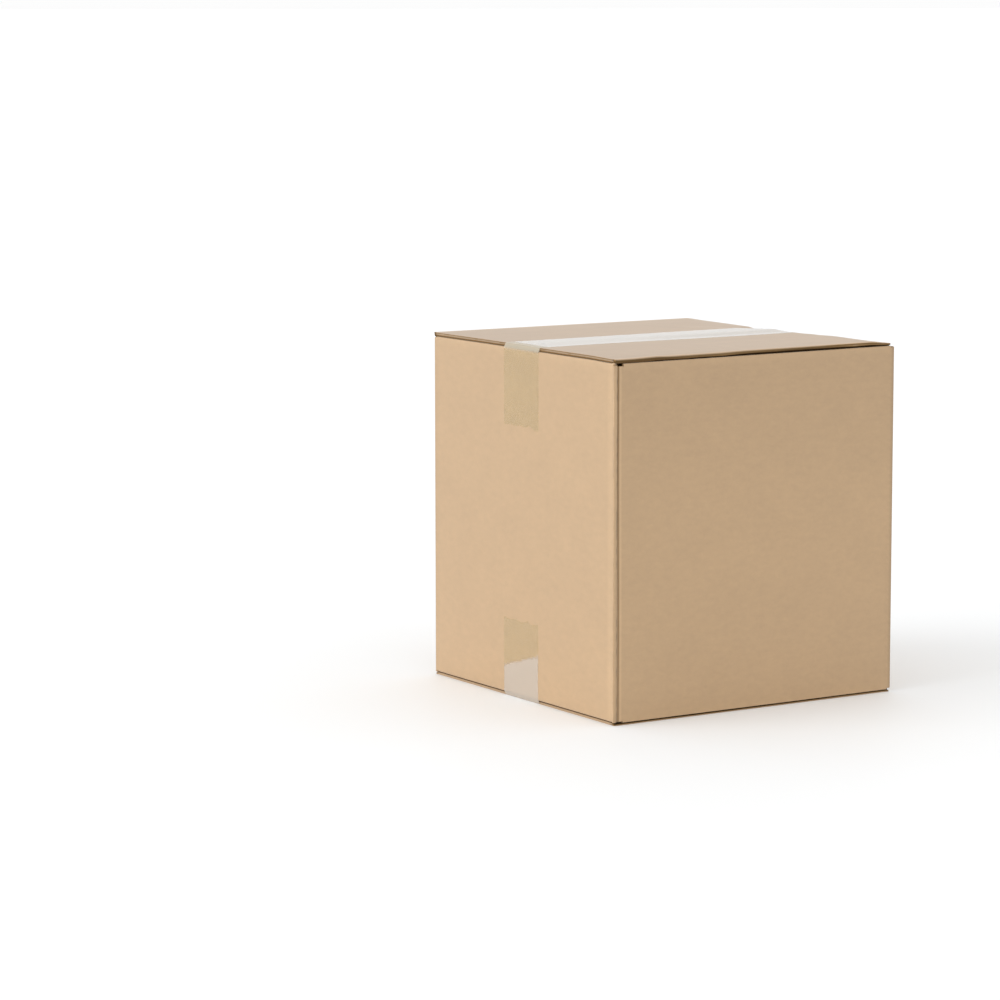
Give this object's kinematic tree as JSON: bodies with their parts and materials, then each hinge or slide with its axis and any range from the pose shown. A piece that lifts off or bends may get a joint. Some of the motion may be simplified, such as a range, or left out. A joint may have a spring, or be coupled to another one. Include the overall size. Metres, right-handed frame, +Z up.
{
  "type": "closed cardboard box",
  "caption": "Regular slotted carton of brown corrugated board, flaps folded shut and sealed along the seam with clear packing tape.",
  "frame": {"origin": "middle of the base, on the surface that the box stands on: the underside of the bottom tape", "axes": "+Z up; +X along the flaps' seam and the tape, towards the end whose outer flaps are crushed; -Y faces one long panel, on which the glued corner stands at -X"},
  "size_m": [0.2562, 0.251, 0.2702],
  "materials": {
    "corrugated_board": "matte kraft paper liner over fluting, with faint fibre mottling",
    "clear_tape": "glossy clear film with a thin adhesive layer"
  },
  "bodies": {
    "root": {"carton": "corrugated_board", "top_tape": "clear_tape", "bottom_tape": "clear_tape"}
  },
  "joints": []
}
